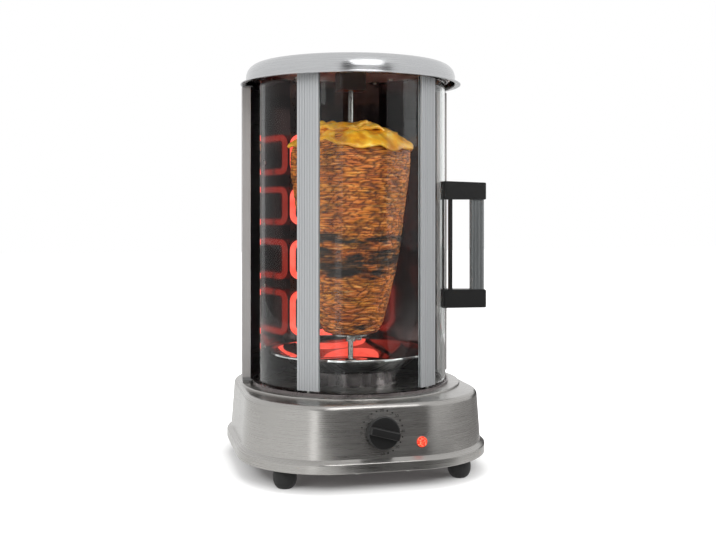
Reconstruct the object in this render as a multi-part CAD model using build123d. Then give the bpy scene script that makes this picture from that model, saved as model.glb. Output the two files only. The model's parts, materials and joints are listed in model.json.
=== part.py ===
"""Upright electric skewer grill: base with timer and gear motor, round heated tower, turning glass
door, spit with its load, and drip tray.

Millimetres. +Z is up, the front with the timer looks along -Y and +X is the viewer's right. The
origin is where the spit axis meets the surface that the feet stand on. Angles about the spit axis
are counted from the front, positive towards the right (+X).
"""
from math import atan, cos, degrees, pi, radians, sin, sqrt
import os

from build123d import *

# ---- running and seating clearances ----
run_fit = 0.05          # radial, shaft in its bore
slide_gap = 0.3         # between surfaces of different bodies that pass each other
seat_gap = 0.3          # under a piece that is only set down
screw_fit = 0.05        # radial, screw in its hole
press_gap = 0.02        # radial, of a knob or a socket fixed on its shaft

# ---- base ----
sheet = 1.0             # wall of every pressed steel shell
base_width = 309.0
base_depth = 324.0
base_corner = 110.0
base_shift = -7.0       # the base reaches further forward of the spit axis than behind it
rim_bottom = 23.3
bead_height = 10.7      # upright band of the rim
ledge_rise = 4.2        # sloping ledge between the band and the wall
ledge_width = 5.5
wall_rise = 60.8
wall_lean = 4.5
shoulder_radius = 6.0
bead_round = 1.8
lip_width = 12.0        # inward lip that the bottom plate is screwed to
lip_z = 25.3
plate_gap = 0.8         # round the bottom plate, inside the rim

# ---- feet ----
foot_side = 48.5        # from the rim's side to a foot's centre
foot_end = 47.0         # from the rim's front or back to a foot's centre
foot_radius = 14.0
foot_top_radius = 11.0
foot_bottom_radius = 8.0
foot_bore_depth = 8.0
m4 = 2.0                # shank radius
m4_head = 3.8
m4_head_height = 2.4
m3 = 1.5
m3_head = 2.8
m3_head_height = 1.8
screw_end_room = 0.5    # left at the bottom of a blind screw hole
plate_screw_length = 6.0
foot_screw_reach = 5.0  # above the bottom plate
foot_nut_height = 3.2
foot_nut_radius = 4.0

# ---- front controls ----
knob_rise = 28.8        # above the ledge, as the lamp and the gland
knob_radius = 19.0
knob_tip_radius = 17.6
knob_height = 9.0
knob_grip_height = 8.0
knob_grip_width = 9.0
knob_gap = 0.6          # between the knob's skirt and the front wall
knob_recess = 11.0      # radius of the hollow over the bush nut
knob_recess_depth = 5.0
knob_turned = 15.0      # the grip bar points this far past three o'clock, at about 43 minutes
timer_shaft_radius = 3.0
timer_bush_radius = 4.5
timer_size = 46.0
timer_depth = 28.0
lamp_x = 47.0
lamp_rise = 15.8
lamp_radius = 4.8
lamp_bezel_radius = 6.2
lamp_bezel_height = 1.4
lamp_body_depth = 24.0

gland_radius = 7.0      # bush for the mains lead in the rear wall
gland_x = -40.0
gland_rise = 23.8

# ---- drive ----
motor_radius = 26.0
motor_height = 20.0
gearbox_radius = 32.0
gearbox_height = 18.0
bracket_drop = 10.0     # from the base's top sheet down to the bracket plate
bracket_plate = 2.0
bracket_x = 42.0        # posts of the bracket
bracket_y = 22.0
bracket_post = 5.0
drive_radius = 4.0
coupling_radius = 9.0
coupling_reach = 12.0   # above the tower's floor
drive_stop = 3.0        # from the motor shaft's end up to the rod's
rod_seat = 1.0          # below the rod's end, in its socket
socket_round = 1.2
shaft_hole = 16.0       # radius, through the base's top and the floor pan
motor_screw_circle = 27.0
motor_screw_depth = 9.0 # of its hole in the gearbox
floor_screw_reach = 7.0 # into the bracket's posts
motor_shaft_depth = 12.0

# ---- tower ----
floor_thick = 2.0
floor_edge = 0.5        # the floor pan shows this far outside the rear housing
tower_radius = 140.0
flange_y = 25.0         # front edge of the rear housing, behind the spit axis
slot_width = 13.0       # the door turns into the slot between this depth and the reflector
housing_rise = 380.0    # above the tower's floor
trim_thick = 3.5
trim_lift = 4.0         # above the tower's floor
trim_drop = 2.5         # below the housing's top
lid_rise = 26.0         # above the housing's top
lid_shoulder = 17.0
lid_step = 5.0          # the lid's wall stands inside the housing
lid_flare = 2.0         # its lip stands outside the housing
ceiling_room = 8.0      # between the ceiling pan's underside and the lid's top
ceiling_step = 11.0     # the ceiling pan's edge stands inside the housing
shelf_drop = 11.5       # of the ceiling pan's inward shelf
spacer_circle = 92.0
spacer_radius = 6.0
spacer_bore = 5.0
track_outer_land = 2.7  # of each track, beside its round groove
track_inner_land = 1.5
track_height = 2.6
track_depth = 1.8
pin_inset = 1.0         # of the guide pins' circle inside the glass's outer face
pin_radius = 2.0
pin_reach = 1.4         # of a guide pin into its track
pin_seat = 12.0         # of a guide pin in its post

# ---- reflector and heater ----
reflector_back = 97.0
reflector_back_half = 63.5
reflector_front_half = 113.0
reflector_front_y = 25.0
tab_places = (-56.0, 56.0)
tab_half = 5.0          # of the reflector's screwed tabs
tab_reach = 6.0         # from the reflector's back to the screws
tab_y = reflector_back - tab_reach
tray_window = 92.0      # width cut out of the reflector's back, behind the tray's rim
tray_window_rise = 44.6 # above the tower's floor
heater_y = 90.0
heater_radius = 4.0
heater_half = 61.0
heater_bend = 11.0
heater_end_bend = 5.5
heater_rises = [319.5, 272.5, 247.5, 202.5, 174.5, 127.5, 104.5, 50.5]
heater_end_top_x = 26.0
heater_end_bottom_x = 38.0
heater_end_y = 106.0
clip_x = 36.0
wire_radius = 1.2
insulator_radius = 6.0
insulator_length = 5.0

# ---- turning glass door ----
glass_outer = 122.0
glass_thick = 3.0
door_lift = 5.0         # above the tower's floor
door_drop = 4.5         # below the ceiling pan's shelf
door_half = 81.5        # degrees from the front to each edge of the glass
post_angle = 37.3
post_half = 6.5        # degrees
post_proud = 2.5        # outside the glass
post_back = 1.0         # inside it
post_slot = 2.8         # degrees that the glass reaches into a post
rib_width = 1.0
rib_depth = 0.5
rib_count = 7
handle_angle = 77.0
handle_lift = 93.0      # above the tower's floor
handle_length = 164.0
handle_reach = 175.0    # radius of the blocks' outer end
handle_width = 20.0
block_height = 24.0
block_taper = 2.2
grip_inset = 2.5        # from the blocks' outer end
grip_depth = 17.5
grip_width = 17.0
spine_gap = 5.3         # outside the glass
spine_depth = 4.3
spine_width = 18.0
glass_seat = 0.05       # between the blocks and the glass
handle_screw_depth = 14.0
grip_seat = 4.0         # of the grip and the spine in each block

# ---- spit, its load and the tray ----
rod_radius = 3.5
rod_lift = 1.0          # above the tower's floor
rod_head_room = 15.0    # above the rod, in its top bearing
spit_disc_rise = 59.5
spit_disc_radius = 24.0
spit_hub_radius = 7.0
spit_hub_height = 8.0
prong_radius = 1.5
prong_circle = 15.0
prong_height = 60.0
bush_radius = 8.0
block_x = 34.0
block_y = 30.0
bearing_drop = 24.0
block_lip = 1.5
tray_lift = 17.0        # above the tower's floor
tray_floor_radius = 66.0
tray_rim_radius = 105.0
tray_depth = 23.0
tray_lip = 7.0
tray_collar = 7.5
tray_collar_height = 9.0
stand_radius = 57.0
# radius and height above the tower's floor, from the foot of the load up
load_sides = [(35.0, 61.5), (41.6, 74.0), (47.5, 92.0), (53.3, 111.6), (59.8, 140.0),
              (64.4, 169.0), (68.3, 197.5), (72.8, 231.0), (76.7, 263.7), (80.0, 291.0),
              (75.0, 305.0), (62.0, 316.0)]
load_dome = 5.0         # rise of the load's top inside its last side point
fat_sides = [(79.0, 297.0), (84.0, 295.0), (83.0, 303.0), (72.0, 320.0), (48.0, 333.0), (20.0, 339.0)]

# ---- worked out from the sizes above ----
ledge_z = rim_bottom + bead_height
wall_z = ledge_z + ledge_rise
base_top = wall_z + wall_rise
floor_z = base_top + floor_thick
inner_top = base_top - sheet
bracket_z = inner_top - bracket_drop
plate_z = lip_z - 1.2
foot_x = base_width / 2 - foot_side
foot_y = base_depth / 2 - foot_end
knob_z = wall_z + knob_rise
lamp_z = wall_z + lamp_rise
gland_z = wall_z + gland_rise
coupling_top = floor_z + coupling_reach
floor_radius = tower_radius + floor_edge
slot_outer = tower_radius - slot_width
housing_top = floor_z + housing_rise
trim_bottom = floor_z + trim_lift
trim_top = housing_top - trim_drop
lid_top = housing_top + lid_rise
lid_radius = tower_radius - lid_step
lid_lip_radius = tower_radius + lid_flare
ceiling_z = lid_top - ceiling_room
ceiling_radius = tower_radius - ceiling_step
shelf_z = ceiling_z - shelf_drop
tray_window_top = floor_z + tray_window_rise
heater_runs = [floor_z + rise for rise in heater_rises]
glass_inner = glass_outer - glass_thick
glass_bottom = floor_z + door_lift
door_top = shelf_z - door_drop
post_outer = glass_outer + post_proud
post_inner = glass_inner - post_back
pin_circle = glass_outer - pin_inset
track_outer = pin_circle + pin_radius + slide_gap + track_outer_land
track_inner = pin_circle - pin_radius - slide_gap - track_inner_land
handle_low = floor_z + handle_lift
handle_high = handle_low + handle_length
grip_outer = handle_reach - grip_inset
grip_inner = grip_outer - grip_depth
spine_inner = glass_outer + spine_gap
spine_outer = spine_inner + spine_depth
rod_bottom = floor_z + rod_lift
rod_top = ceiling_z - rod_head_room
spit_disc_z = floor_z + spit_disc_rise
block_bottom = ceiling_z - bearing_drop
tray_floor = floor_z + tray_lift
tray_rim = tray_floor + tray_depth
load_bottom = spit_disc_z + 1.0
load_profile = [(radius, floor_z + rise) for radius, rise in load_sides]
load_top = load_profile[-1][1] + load_dome
fat_profile = [(radius, floor_z + rise) for radius, rise in fat_sides]
fat_top = fat_profile[-1][1]
flange_edge = sqrt((tower_radius - sheet) ** 2 - flange_y ** 2)
flange_angle = 90.0 + degrees(atan(flange_y / flange_edge))


def at(radius, angle):
    """Plan position at a radius and an angle from the front."""
    return (radius * sin(radians(angle)), -radius * cos(radians(angle)))


def ring(outer, inner, low, high):
    """Upright tube about the spit axis."""
    return Pos(0, 0, low) * extrude(Circle(outer) - Circle(inner), high - low)


def rod(radius, low, high, x=0.0, y=0.0):
    """Upright cylinder between two heights."""
    return Pos(x, y, low) * extrude(Circle(radius), high - low)


def block(x0, x1, y0, y1, z0, z1):
    """Box between its limits."""
    return Pos(x0, y0, z0) * Box(x1 - x0, y1 - y0, z1 - z0, align=(Align.MIN, Align.MIN, Align.MIN))


def sector(outer, inner, low, high, start, end):
    """Part of an upright tube about the spit axis, between two angles from the front."""
    far = CenterArc((0, 0), outer, start - 90.0, end - start)
    near = CenterArc((0, 0), inner, start - 90.0, end - start)
    face = make_face([far, Line(far @ 1, near @ 1), near, Line(near @ 0, far @ 0)])
    return Pos(0, 0, low) * extrude(face, high - low)


def turned(points):
    """Solid of revolution from a closed outline of (radius, height) points."""
    return revolve(Plane.XZ * make_face(Polyline(*points, close=True)), Axis.Z)


def turned_sheet(points, radii, thick):
    """Pressed round sheet: (radius, height) points with rounded corners, thickened to the right."""
    line = FilletPolyline(*points, radius=radii)
    border = Wire(line.edges()).offset_2d(thick, side=Side.RIGHT, closed=True)
    return revolve(Plane.XZ * make_face(border), Axis.Z)


def outline(inset, z):
    """The base's rounded square, drawn in from the rim, at a height."""
    return Pos(0, base_shift, z) * RectangleRounded(
        base_width - 2 * inset, base_depth - 2 * inset, base_corner - inset)


def wall_inset(z):
    """How far the base's outer wall stands inside the rim at a height."""
    return ledge_width + wall_lean * (z - wall_z) / wall_rise


def front_face(x, z):
    """Frame on the outside of the front wall: local x to the right, local z straight out of it."""
    y = base_shift - base_depth / 2 + wall_inset(z)
    tilt = atan(wall_lean / wall_rise)
    return Plane(origin=(x, y, z), x_dir=(1, 0, 0), z_dir=(0, -cos(tilt), sin(tilt))).location


def pan_screw(radius, head, head_height, length):
    """Screw along +Z with its head's underside at z = 0 and the shank below."""
    dome = fillet((rod(head, 0, head_height)).edges().group_by(Axis.Z)[-1], head_height * 0.45)
    return dome + rod(radius, -length, 0)


# ---- base ----
def base_block(inset, bottom, top):
    """Solid shape of the base, drawn in by a sheet's thickness for its hollow."""
    band = extrude(outline(inset, bottom), ledge_z - bottom)
    ledge = loft([outline(inset, ledge_z), outline(inset + ledge_width, wall_z)], ruled=True)
    wall = loft([outline(inset + ledge_width, wall_z),
                 outline(inset + wall_inset(top), top)], ruled=True)
    whole = band + ledge + wall
    return fillet(whole.edges().group_by(Axis.Z)[-1], shoulder_radius - inset)


def make_base_housing():
    outer = base_block(0, rim_bottom, base_top)
    outer = fillet(outer.edges().filter_by_position(Axis.Z, ledge_z - 0.1, ledge_z + 0.1), bead_round)
    outer = fillet(outer.edges().group_by(Axis.Z)[0], bead_round * 0.4)
    hollow = base_block(sheet, rim_bottom, inner_top)
    lip = extrude(outline(sheet, lip_z), sheet) - extrude(outline(lip_width, lip_z), sheet)
    shell = outer - hollow + lip
    shell -= rod(shaft_hole, inner_top, base_top)
    for x in (-bracket_x, bracket_x):
        for y in (-bracket_y, bracket_y):
            shell -= rod(m4 + screw_fit, inner_top, base_top, x, y)
    for x in (heater_end_top_x, heater_end_bottom_x):
        shell -= rod(wire_radius + 1.2, inner_top, base_top, x, heater_end_y)
    for x, y in plate_screw_places():
        shell -= rod(m4 + screw_fit, lip_z, lip_z + sheet, x, y)
    shell -= front_face(0, knob_z) * rod(timer_bush_radius + run_fit, -4, 4)
    shell -= front_face(lamp_x, lamp_z) * rod(lamp_radius + run_fit, -4, 4)
    shell -= gland_place() * rod(gland_radius, -4, 4)
    return shell


def plate_screw_places():
    half_x = base_width / 2 - 7.0
    half_y = base_depth / 2 - 7.0
    return [(-half_x, base_shift), (half_x, base_shift),
            (-30.0, base_shift - half_y), (30.0, base_shift - half_y),
            (-30.0, base_shift + half_y), (30.0, base_shift + half_y)]


def foot_places():
    return {
        "front_left": (-foot_x, base_shift - foot_y),
        "front_right": (foot_x, base_shift - foot_y),
        "rear_left": (-foot_x, base_shift + foot_y),
        "rear_right": (foot_x, base_shift + foot_y),
    }


def make_bottom_plate():
    plate = extrude(outline(sheet + plate_gap, plate_z), lip_z - plate_z)
    for x, y in list(foot_places().values()) + plate_screw_places():
        plate -= rod(m4 + screw_fit, plate_z, lip_z, x, y)
    for row in (-1, 1):
        for i in range(7):
            slot = SlotOverall(34, 4, rotation=90)
            plate -= Pos(-48 + 16 * i, base_shift + row * 62, plate_z) * extrude(slot, lip_z - plate_z)
    return plate


def make_foot(x, y):
    side = Spline((foot_top_radius, plate_z), (foot_radius, 12.5), (foot_bottom_radius + 2.6, 2.2),
                  (foot_bottom_radius, 0))
    lines = [Line((0, 0), (foot_bottom_radius, 0)), side, Line((foot_top_radius, plate_z), (0, plate_z)),
             Line((0, plate_z), (0, 0))]
    body = revolve(Plane.XZ * make_face(lines), Axis.Z)
    body -= rod(m4_head + 0.4, 0, foot_bore_depth)
    body -= rod(m4 + screw_fit, 0, plate_z)
    return Pos(x, y, 0) * body


def make_foot_bolts():
    """Screws up through the feet and the bottom plate, each with its nut on the plate."""
    pieces = []
    for x, y in foot_places().values():
        screw = rod(m4_head, foot_bore_depth - m4_head_height, foot_bore_depth)
        screw += rod(m4, foot_bore_depth, lip_z + foot_screw_reach)
        nut = extrude(RegularPolygon(foot_nut_radius, 6) - Circle(m4 + screw_fit), foot_nut_height)
        nut = Pos(0, 0, lip_z) * nut
        pieces += [Pos(x, y, 0) * screw, Pos(x, y, 0) * nut]
    return pieces


def make_plate_screws():
    down = Rot(180, 0, 0) * pan_screw(m4, m4_head, m4_head_height, plate_screw_length)
    return [Pos(x, y, plate_z) * down for x, y in plate_screw_places()]


# ---- front controls ----
def make_timer_body():
    case = Pos(0, 0, -sheet - timer_depth / 2) * Box(timer_size, timer_size, timer_depth)
    case = fillet(case.edges().filter_by(Axis.Z), 4)
    case += rod(timer_bush_radius, -sheet, 3.6)
    case -= rod(timer_shaft_radius + run_fit, -sheet - 12, 3.6)
    return front_face(0, knob_z) * case


def make_timer_nut():
    return front_face(0, knob_z) * extrude(RegularPolygon(7.5, 6) - Circle(timer_bush_radius + run_fit), 2.6)


def make_timer_shaft():
    shaft = rod(timer_shaft_radius, -sheet - 11.6, knob_gap + knob_height + 2)
    return front_face(0, knob_z) * shaft


def make_timer_knob():
    low = knob_gap
    skirt = Pos(0, 0, low) * extrude(Circle(knob_radius), knob_height)
    skirt = fillet(skirt.edges().group_by(Axis.Z)[-1], 2.0)
    grip = Box(2 * knob_tip_radius, knob_grip_width, knob_grip_height + 4,
               align=(Align.CENTER, Align.CENTER, Align.MIN))
    grip = Pos(0, 0, low + knob_height - 4) * grip
    grip = grip & rod(knob_tip_radius, 0, low + knob_height + knob_grip_height)
    grip = fillet(grip.edges().group_by(Axis.Z)[-1], 1.5)
    knob = skirt + Rot(0, 0, -knob_turned) * grip
    knob -= rod(knob_recess, low, low + knob_recess_depth)
    knob -= rod(timer_shaft_radius + press_gap, low, knob_gap + knob_height + 2.2)
    return front_face(0, knob_z) * knob


def make_lamp_body():
    can = rod(lamp_radius, -lamp_body_depth, 0)
    collar = ring(lamp_radius + 1.2, lamp_radius, -sheet - 2.5, -sheet - 0.3)
    return front_face(lamp_x, lamp_z) * (can + collar)


def make_lamp_bezel():
    bezel = ring(lamp_bezel_radius, lamp_radius - 0.6, 0, lamp_bezel_height)
    bezel = fillet(bezel.edges().group_by(Axis.Z)[-1].sort_by(SortBy.RADIUS)[-1:], 0.6)
    return front_face(lamp_x, lamp_z) * bezel


def make_lamp_lens():
    radius = lamp_radius - 0.65
    dome = rod(radius, 0, lamp_bezel_height + 2.2)
    dome = fillet(dome.edges().group_by(Axis.Z)[-1], 2.0)
    return front_face(lamp_x, lamp_z) * dome


# ---- drive ----
def make_motor_bracket():
    plate = block(-bracket_x - 8, bracket_x + 8, -bracket_y - 12, bracket_y + 12,
                  bracket_z - bracket_plate, bracket_z)
    plate -= rod(coupling_radius + 1, bracket_z - bracket_plate, bracket_z)
    for x, y in motor_screw_places():
        plate -= rod(m3 + screw_fit, bracket_z - bracket_plate, bracket_z, x, y)
    for x in (-bracket_x, bracket_x):
        for y in (-bracket_y, bracket_y):
            plate += rod(bracket_post, bracket_z, inner_top, x, y)
            plate -= rod(m4 + screw_fit, bracket_z, inner_top, x, y)
    return plate


def motor_screw_places():
    return [at(motor_screw_circle, 45 + 90 * i) for i in range(4)]


def make_gear_motor():
    top = bracket_z - bracket_plate
    case = rod(gearbox_radius, top - gearbox_height, top)
    case = fillet(case.edges().group_by(Axis.Z)[0], 2)
    can = rod(motor_radius, top - gearbox_height - motor_height, top - gearbox_height)
    case += fillet(can.edges().group_by(Axis.Z)[0], 3)
    case -= rod(drive_radius + run_fit, top - motor_shaft_depth, top)
    for x, y in motor_screw_places():
        case -= rod(m3 + screw_fit, top - motor_screw_depth, top, x, y)
    return case


def make_motor_screws():
    length = bracket_plate + motor_screw_depth - 2 * screw_end_room
    screw = pan_screw(m3, m3_head, m3_head_height, length)
    return [Pos(x, y, bracket_z) * screw for x, y in motor_screw_places()]


def make_floor_screws():
    screw = pan_screw(m4, m4_head, m4_head_height, floor_thick + sheet + floor_screw_reach)
    return [Pos(x, y, floor_z) * screw for x in (-bracket_x, bracket_x) for y in (-bracket_y, bracket_y)]


def make_drive_shaft():
    low = bracket_z - bracket_plate - motor_shaft_depth + screw_end_room
    return rod(drive_radius, low, rod_bottom - drive_stop)


def make_drive_coupling():
    low = bracket_z + bracket_plate
    socket = rod(coupling_radius, low, coupling_top)
    socket = fillet(socket.edges().group_by(Axis.Z)[-1], socket_round)
    socket -= rod(drive_radius + press_gap, low, rod_bottom - drive_stop + 0.2)
    socket -= rod(rod_radius + run_fit, rod_bottom - rod_seat, coupling_top)
    return socket


def make_shaft_seal():
    seal = ring(shaft_hole - run_fit, coupling_radius + slide_gap, inner_top, floor_z)
    return seal + ring(shaft_hole + 3, coupling_radius + slide_gap, floor_z, floor_z + 1.5)


def make_terminal_block():
    """Ceramic terminal block under the base's top, straight below the heater's two wires."""
    middle = (heater_end_top_x + heater_end_bottom_x) / 2
    case = block(middle - 14, middle + 14, heater_end_y - 9, heater_end_y + 9, inner_top - 16, inner_top)
    for x in (heater_end_top_x, heater_end_bottom_x):
        case -= rod(wire_radius + run_fit, inner_top - 8, inner_top, x, heater_end_y)
    return case


def make_heater_wires():
    """Two leads from the element's ends straight down to the terminal block."""
    ends = ((heater_end_top_x, heater_runs[0]), (heater_end_bottom_x, heater_runs[-1]))
    return [rod(wire_radius, inner_top - 7.5, z - insulator_radius, x, heater_end_y) for x, z in ends]


def gland_place():
    """Frame on the outside of the rear wall where the mains lead enters."""
    y = base_shift + base_depth / 2 - wall_inset(gland_z)
    tilt = atan(wall_lean / wall_rise)
    return Plane(origin=(gland_x, y, gland_z), x_dir=(-1, 0, 0), z_dir=(0, cos(tilt), sin(tilt))).location


def make_cable_gland():
    barrel = rod(gland_radius - run_fit, -12, 3) + rod(gland_radius + 3, 0, 3)
    barrel += rod(gland_radius + 2, -4.5, -1.4) + rod(gland_radius - 2, 3, 9)
    return gland_place() * (barrel - rod(3.6, -12, 9))


# ---- tower ----
def make_floor_pan():
    pan = rod(floor_radius, base_top, floor_z)
    pan = fillet(pan.edges().group_by(Axis.Z)[-1], 1.2)
    pan -= rod(shaft_hole, base_top, floor_z)
    for x in (-bracket_x, bracket_x):
        for y in (-bracket_y, bracket_y):
            pan -= rod(m4 + screw_fit, base_top, floor_z, x, y)
    for x in (heater_end_top_x, heater_end_bottom_x):
        pan -= rod(wire_radius + 1.2, base_top, floor_z, x, heater_end_y)
    for x in tab_places:
        pan -= rod(m3 + screw_fit, base_top, floor_z, x, tab_y)
    return pan


def track(low, high, open_up):
    """Ring with a round groove that the door's guide pins run in."""
    body = ring(track_outer, track_inner, low, high)
    half = pin_radius + slide_gap
    if open_up:
        return body - ring(pin_circle + half, pin_circle - half, high - track_depth, high)
    return body - ring(pin_circle + half, pin_circle - half, low, low + track_depth)


def make_rear_housing():
    turn = 180.0 - flange_angle
    inner = tower_radius - sheet
    shell = sector(tower_radius, inner, floor_z, housing_top, 180 - turn, 180 + turn)
    for low in (floor_z, housing_top - sheet):
        shell += sector(inner + 0.5, slot_outer, low, low + sheet, 180 - turn, 180 + turn)
    for side in (-1, 1):
        low, high = sorted((side * slot_outer, side * (flange_edge + 0.2)))
        shell += block(low, high, flange_y, flange_y + sheet, floor_z, housing_top)
    return shell


def make_trim(side):
    """Ribbed strip on the front flange of the rear housing."""
    low, high = sorted((side * slot_outer, side * (flange_edge + 1.8)))
    strip = block(low, high, flange_y - trim_thick, flange_y, trim_bottom, trim_top)
    strip = fillet(strip.edges().filter_by(Axis.Z).group_by(Axis.Y)[0], 0.9)
    for i in range(4):
        x = low + (high - low) * (i + 1) / 5
        strip -= block(x - rib_width / 2, x + rib_width / 2, flange_y - trim_thick,
                       flange_y - trim_thick + rib_depth, trim_bottom, trim_top)
    return strip


def make_reflector():
    """Bent sheet behind the heater: a flat back with two sides that open towards the front."""
    spread = reflector_front_half - reflector_back_half
    depth = reflector_back - reflector_front_y
    slant = sqrt(spread ** 2 + depth ** 2)
    nx = depth / slant * sheet
    ny = spread / slant * sheet
    corner = reflector_back_half + sheet * (1 - ny / sheet) / (nx / sheet)
    face = make_face(Polyline(
        (-reflector_front_half, reflector_front_y), (-reflector_back_half, reflector_back),
        (reflector_back_half, reflector_back), (reflector_front_half, reflector_front_y),
        (reflector_front_half + nx, reflector_front_y + ny), (corner, reflector_back + sheet),
        (-corner, reflector_back + sheet), (-reflector_front_half - nx, reflector_front_y + ny),
        close=True))
    panel = Pos(0, 0, floor_z) * extrude(face, ceiling_z - floor_z)
    for low, high in ((floor_z, floor_z + sheet), (ceiling_z - sheet, ceiling_z)):
        for x in tab_places:
            panel += block(x - tab_half, x + tab_half, tab_y - 4, reflector_back, low, high)
            panel -= rod(m3 + screw_fit, low, high, x, tab_y)
    panel -= block(-tray_window / 2, tray_window / 2, reflector_back - 1, reflector_back + sheet + 1,
                   floor_z, tray_window_top)
    for x, z in ((heater_end_top_x, heater_runs[0]), (heater_end_bottom_x, heater_runs[-1])):
        hole = Pos(x, reflector_back, z) * Rot(-90, 0, 0) * rod(heater_radius + 0.5, 0, sheet)
        panel -= hole
    return panel


def heater_path():
    """Centre line of the element: eight level runs, bent back and forth, with both ends to the rear."""
    x = heater_half
    points = [(heater_end_top_x, heater_end_y, heater_runs[0]), (heater_end_top_x, heater_y, heater_runs[0])]
    for i in range(0, len(heater_runs), 2):
        upper, lower = heater_runs[i], heater_runs[i + 1]
        if i:
            points.append((x, heater_y, upper))
        points.append((-x, heater_y, upper))
        points.append((-x, heater_y, lower))
        if i + 2 < len(heater_runs):
            points.append((x, heater_y, lower))
    points += [(heater_end_bottom_x, heater_y, heater_runs[-1]),
               (heater_end_bottom_x, heater_end_y, heater_runs[-1])]
    corners = len(points) - 2
    radii = [heater_end_bend] + [heater_bend] * (corners - 2) + [heater_end_bend]
    return FilletPolyline(*points, radius=radii)


def make_heating_element():
    path = heater_path()
    tube = sweep(Plane(origin=path @ 0, z_dir=path % 0) * Circle(heater_radius), path=path)
    drawn = pi * heater_radius ** 2 * path.length
    print("element length", round(path.length, 1), "volume ratio", round(tube.volume / drawn, 4))
    return tube


def make_element_clips():
    """Saddles that hold the element's runs a little way in front of the reflector."""
    clips = []
    for z in (heater_runs[1], heater_runs[3], heater_runs[5], heater_runs[6]):
        for x in (-clip_x, clip_x):
            saddle = Rot(0, 90, 0) * (Cylinder(heater_radius + 1.4, 5) - Cylinder(heater_radius + run_fit, 5))
            stem = block(-2.5, 2.5, heater_radius + 1.0, reflector_back - heater_y, -3, 3)
            clips.append(Pos(x, heater_y, z) * (saddle + stem))
    return clips


def make_element_insulators():
    """Ceramic beads behind the reflector round the element's two ends."""
    beads = []
    for x, z in ((heater_end_top_x, heater_runs[0]), (heater_end_bottom_x, heater_runs[-1])):
        bead = ring(insulator_radius, heater_radius + run_fit, 0, insulator_length)
        beads.append(Pos(x, reflector_back + sheet, z) * Rot(-90, 0, 0) * bead)
    return beads


def make_thermal_cutout():
    disc = rod(8, 0, 5) + rod(6, 5, 9)
    return Pos(-28, reflector_back + sheet, 260) * Rot(-90, 0, 0) * disc


def make_tower_screws():
    """Screws of the reflector's tabs, below and above, and of the ceiling pan under the lid."""
    low = pan_screw(m3, m3_head, m3_head_height, sheet + floor_thick)
    high = Rot(180, 0, 0) * pan_screw(m3, m3_head, m3_head_height, 2 * sheet)
    screws = [Pos(x, tab_y, floor_z + sheet) * low for x in tab_places]
    screws += [Pos(x, tab_y, ceiling_z - sheet) * high for x in tab_places]
    long = Rot(180, 0, 0) * pan_screw(m4, m4_head, m4_head_height, sheet + spacer_bore - screw_end_room)
    return screws + [Pos(x, y, ceiling_z) * long for x, y in spacer_places()]


def spacer_places():
    return [at(spacer_circle, 40 + 90 * i) for i in range(4)]


def make_ceiling_pan():
    pan = turned([(0, ceiling_z), (ceiling_radius - sheet, ceiling_z),
                  (ceiling_radius - sheet, shelf_z + sheet), (track_inner, shelf_z + sheet),
                  (track_inner, shelf_z), (ceiling_radius, shelf_z),
                  (ceiling_radius, ceiling_z + sheet), (0, ceiling_z + sheet)])
    for x in tab_places:
        pan -= rod(m3 + screw_fit, ceiling_z, ceiling_z + sheet, x, tab_y)
    for x, y in spacer_places():
        pan -= rod(m4 + screw_fit, ceiling_z, ceiling_z + sheet, x, y)
    return pan


def make_lid_spacers():
    """Nuts welded under the lid, which the ceiling pan is screwed to."""
    low = ceiling_z + sheet
    nuts = []
    for x, y in spacer_places():
        nut = rod(spacer_radius, low, lid_top - sheet, x, y)
        nuts.append(nut - rod(m4 + screw_fit, low, low + spacer_bore, x, y))
    return nuts


def make_lid():
    """Pressed lid: flat top, round shoulder, upright wall and a flared lip that rests on the housing."""
    shape = turned_sheet([(0, lid_top), (lid_radius, lid_top), (lid_radius, housing_top + sheet),
                          (lid_lip_radius, housing_top + sheet)], [lid_shoulder, 2.5], sheet)
    curl = turned([(lid_lip_radius - sheet, housing_top), (lid_lip_radius, housing_top),
                   (lid_lip_radius, housing_top + sheet), (lid_lip_radius - sheet, housing_top + sheet)])
    return shape + curl


def make_bearing_block():
    body = block(-block_x / 2, block_x / 2, -block_y / 2, block_y / 2, block_bottom, ceiling_z)
    body += block(-block_x / 2 - 0.8, block_x / 2 + 0.8, -block_y / 2 - 0.8, block_y / 2 + 0.8,
                  block_bottom, block_bottom + block_lip)
    return body - rod(bush_radius, block_bottom, ceiling_z)


def make_bearing_bush():
    bush = ring(bush_radius - run_fit, rod_radius + run_fit, block_bottom, ceiling_z)
    return bush


# ---- turning door ----
def make_glass(start, end):
    return sector(glass_outer, glass_inner, glass_bottom, door_top, start, end)


def make_post(angle):
    """Ribbed aluminium post between two panes, with a slot for each of them."""
    post = sector(post_outer, post_inner, glass_bottom, door_top, -post_half, post_half)
    for side in (-1, 1):
        edge = side * post_half
        inside = side * (post_half - post_slot)
        low, high = sorted((edge * 1.02, inside))
        post -= sector(glass_outer + 0.05, glass_inner - 0.05, glass_bottom, door_top, low, high)
    for i in range(rib_count):
        turn = -post_half + 2 * post_half * (i + 1) / (rib_count + 1)
        groove = block(-rib_width / 2, rib_width / 2, -post_outer, -post_outer + rib_depth,
                       glass_bottom, door_top)
        post -= Rot(0, 0, turn) * groove
    for low, high in ((glass_bottom, glass_bottom + pin_seat), (door_top - pin_seat, door_top)):
        post -= rod(pin_radius, low, high, 0, -pin_circle)
    return Rot(0, 0, angle) * post


def make_door_pins():
    """Guide pins pressed into the posts' ends."""
    pins = []
    low = floor_z + track_height - pin_reach
    high = shelf_z - track_height + pin_reach
    for angle in (-post_angle, post_angle):
        x, y = at(pin_circle, angle)
        pins.append(rod(pin_radius, low, glass_bottom + pin_seat, x, y))
        pins.append(rod(pin_radius, door_top - pin_seat, high, x, y))
    return pins


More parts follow.
